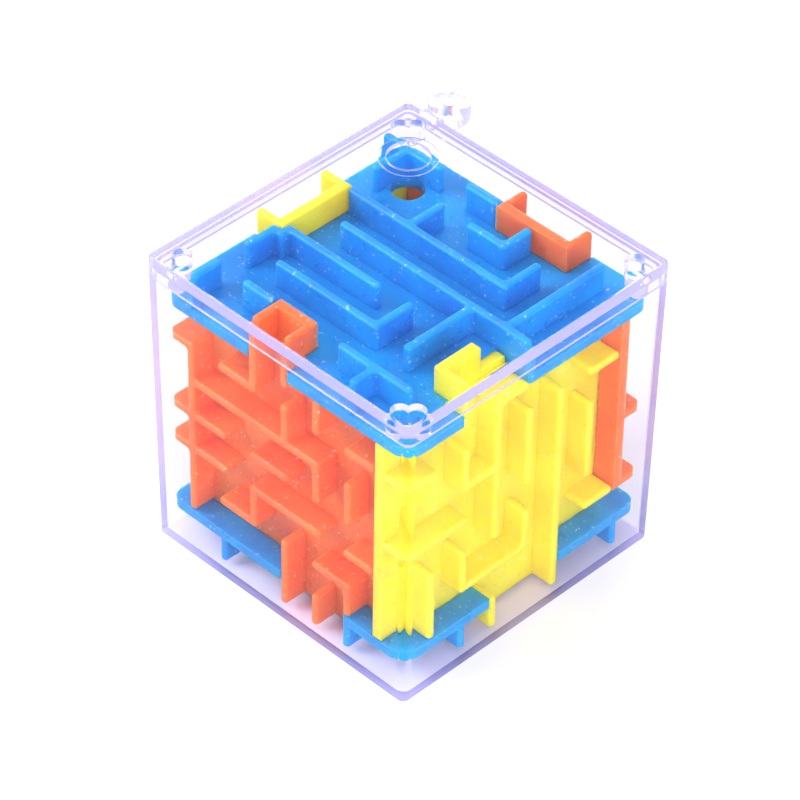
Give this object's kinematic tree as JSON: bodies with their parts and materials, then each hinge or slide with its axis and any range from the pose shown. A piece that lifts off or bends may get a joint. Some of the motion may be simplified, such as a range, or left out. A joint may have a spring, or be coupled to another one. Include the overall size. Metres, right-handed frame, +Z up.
{
  "type": "maze cube ball puzzle",
  "caption": "Pocket maze cube: coloured interlocking maze plates form a hollow core in a clear box with a push-on lid and key eye; a steel ball rolls through the lanes.",
  "frame": {"origin": "centre of the clear box's flat bottom face", "axes": "+Z up through the lid, -Y the front (an orange plate), +X the right side (a yellow plate); the key eye stands out behind, on +Y, near the -X corner"},
  "size_m": [0.04, 0.0459, 0.0404],
  "materials": {
    "clear_plastic": "clear moulded polystyrene, polished, faint lilac at its edges",
    "blue_plastic": "moulded, half gloss",
    "orange_plastic": "moulded, half gloss",
    "yellow_plastic": "moulded, half gloss",
    "steel": "polished bearing steel"
  },
  "bodies": {
    "case": {"case_body": "clear_plastic", "maze_top": "blue_plastic", "maze_bottom": "blue_plastic", "maze_front": "orange_plastic", "maze_back": "orange_plastic", "maze_right": "yellow_plastic", "maze_left": "yellow_plastic"},
    "lid": {"case_lid": "clear_plastic"},
    "ball": {"steel_ball": "steel"}
  },
  "joints": [
    {"name": "lid_lift", "type": "slide", "parent": "case", "child": "lid", "axis": [0, 0, 1], "range_m": [0, 0.03]},
    {"name": "ball_roll", "type": "slide", "parent": "case", "child": "ball", "axis": [1, 0, 0], "range_m": [-0.01, 0.01]}
  ]
}
